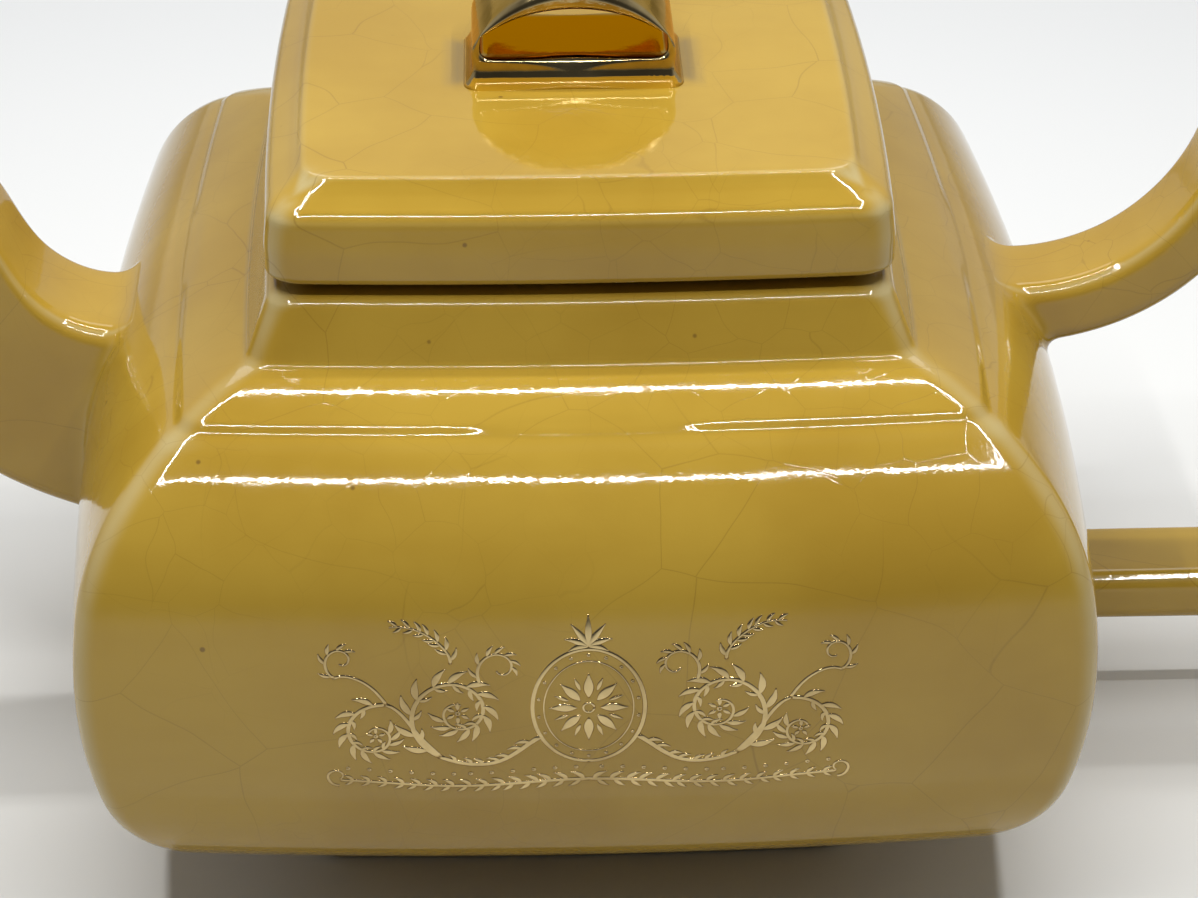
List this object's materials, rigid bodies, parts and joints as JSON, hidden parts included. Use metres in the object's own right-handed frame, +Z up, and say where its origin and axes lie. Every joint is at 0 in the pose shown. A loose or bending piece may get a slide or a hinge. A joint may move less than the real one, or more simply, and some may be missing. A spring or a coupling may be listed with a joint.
{
  "type": "teapot",
  "caption": "Square-plan glazed ceramic teapot with a stepped shoulder, rectangular spout, strap handle and a lift-off lid with a gilded bridge knob.",
  "frame": {"origin": "centre of the foot's resting plane", "axes": "+X towards the handle, -X towards the spout, +Z up"},
  "size_m": [0.2324, 0.123, 0.106],
  "materials": {
    "glaze": "glossy mustard crackle glaze",
    "bisque": "matt thinly glazed clay",
    "gilding": "polished gold lustre over glaze"
  },
  "bodies": {
    "pot": {"body_shell": "glaze", "foot_rim": "glaze", "spout": "glaze", "handle": "glaze"},
    "lid": {"lid_shell": "glaze", "lid_flange": "bisque", "knob": "gilding"}
  },
  "joints": [
    {"name": "lid_lift", "type": "slide", "parent": "pot", "child": "lid", "axis": [0, 0, 1], "range_m": [0, 0.06]}
  ]
}
